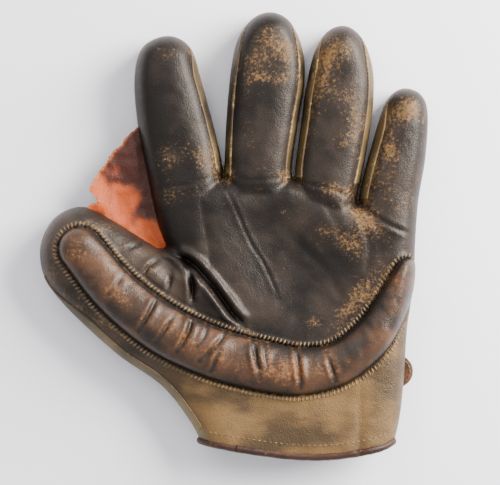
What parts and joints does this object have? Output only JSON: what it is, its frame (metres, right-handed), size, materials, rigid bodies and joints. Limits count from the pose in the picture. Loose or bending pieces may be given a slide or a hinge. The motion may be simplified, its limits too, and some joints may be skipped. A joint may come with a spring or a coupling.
{
  "type": "fielders baseball glove",
  "caption": "Old leather baseball fielder's glove for the left hand, palm up, with separate padded fingers, thumb web, crescent heel roll and snap wrist strap.",
  "frame": {"origin": "middle of the bounding box in X and Y, at the lowest plane of the back of the glove", "axes": "+X towards the little finger, +Y towards the fingertips, +Z out of the palm"},
  "size_m": [0.2136, 0.2472, 0.0395],
  "materials": {
    "palm_leather": "worn satin, near-black brown",
    "finger_leather": "worn satin, dark brown with tan scuffs",
    "heel_leather": "worn satin, olive tan with dark blotches",
    "back_leather": "worn satin, brown",
    "gusset_leather": "worn satin, dark brown",
    "roll_leather": "worn satin, dark brown with orange wear",
    "web_leather": "satin, rust orange to maroon",
    "strap_leather": "worn satin, brown",
    "lining": "matt, pale buff",
    "welt": "worn satin, yellow tan",
    "binding": "worn satin, red brown",
    "felt": "matt, grey wool felt",
    "thread": "matt, pale tan thread",
    "brass": "tarnished satin"
  },
  "bodies": {
    "palm": {"palm_front": "palm_leather", "heel_panel": "heel_leather", "hand_back": "back_leather", "palm_pad": "felt", "palm_lining": "lining", "back_lining": "lining", "heel_roll_cover": "roll_leather", "bend_roll_cover": "roll_leather", "heel_roll_felt": "felt", "bend_roll_felt": "felt", "heel_roll_stitches": "thread", "heel_binding": "binding", "back_binding": "binding", "strap_tail": "strap_leather", "snap_stud": "brass", "snap_washer": "brass", "web": "web_leather", "index_crease": "finger_leather", "middle_crease": "finger_leather", "ring_crease": "finger_leather", "little_crease": "finger_leather"},
    "thumb": {"thumb_front": "palm_leather", "thumb_back": "back_leather", "thumb_welt": "welt", "thumb_pad": "felt", "thumb_lining": "lining", "thumb_roll_cover": "roll_leather", "thumb_roll_felt": "felt", "thumb_roll_stitches": "thread"},
    "strap": {"wrist_strap": "strap_leather", "snap_cap": "brass", "snap_socket": "brass"},
    "index_finger": {"index_front": "finger_leather", "index_back": "back_leather", "index_gussets": "gusset_leather", "index_welt": "welt", "index_pad": "felt", "index_lining": "lining"},
    "middle_finger": {"middle_front": "finger_leather", "middle_back": "back_leather", "middle_gussets": "gusset_leather", "middle_welt": "welt", "middle_pad": "felt", "middle_lining": "lining"},
    "ring_finger": {"ring_front": "finger_leather", "ring_back": "back_leather", "ring_gussets": "gusset_leather", "ring_welt": "welt", "ring_pad": "felt", "ring_lining": "lining"},
    "little_finger": {"little_front": "finger_leather", "little_back": "back_leather", "little_gussets": "gusset_leather", "little_welt": "welt", "little_pad": "felt", "little_lining": "lining"}
  },
  "joints": [
    {"name": "index_flex", "type": "hinge", "parent": "palm", "child": "index_finger", "pos_m": [-0.03021, 0.04986, 0.008], "axis": [0.8933, -0.4494, 0], "range_deg": [-5, 45], "stiffness_Nm_per_rad": 0.3, "deforming": ["index_crease"]},
    {"name": "middle_flex", "type": "hinge", "parent": "palm", "child": "middle_finger", "pos_m": [0.01334, 0.03646, 0.008], "axis": [0.9982, -0.0601, 0], "range_deg": [-5, 45], "stiffness_Nm_per_rad": 0.3, "deforming": ["middle_crease"]},
    {"name": "ring_flex", "type": "hinge", "parent": "palm", "child": "ring_finger", "pos_m": [0.05194, 0.03421, 0.008], "axis": [0.9953, -0.097, 0], "range_deg": [-5, 45], "stiffness_Nm_per_rad": 0.3, "deforming": ["ring_crease"]},
    {"name": "little_flex", "type": "hinge", "parent": "palm", "child": "little_finger", "pos_m": [0.08524, 0.02186, 0.008], "axis": [0.9905, -0.1376, 0], "range_deg": [-5, 45], "stiffness_Nm_per_rad": 0.3, "deforming": ["little_crease"]},
    {"name": "thumb_fold", "type": "hinge", "parent": "palm", "child": "thumb", "pos_m": [-0.02711, -0.06044, 0.006], "axis": [-0.151, 0.9885, 0], "range_deg": [-5, 40], "stiffness_Nm_per_rad": 0.6, "deforming": ["bend_roll_cover", "bend_roll_felt", "web"]},
    {"name": "strap_open", "type": "hinge", "parent": "palm", "child": "strap", "pos_m": [0.01344, -0.07389, 0.0046], "axis": [0, 1, 0], "range_deg": [0, 110]}
  ]
}
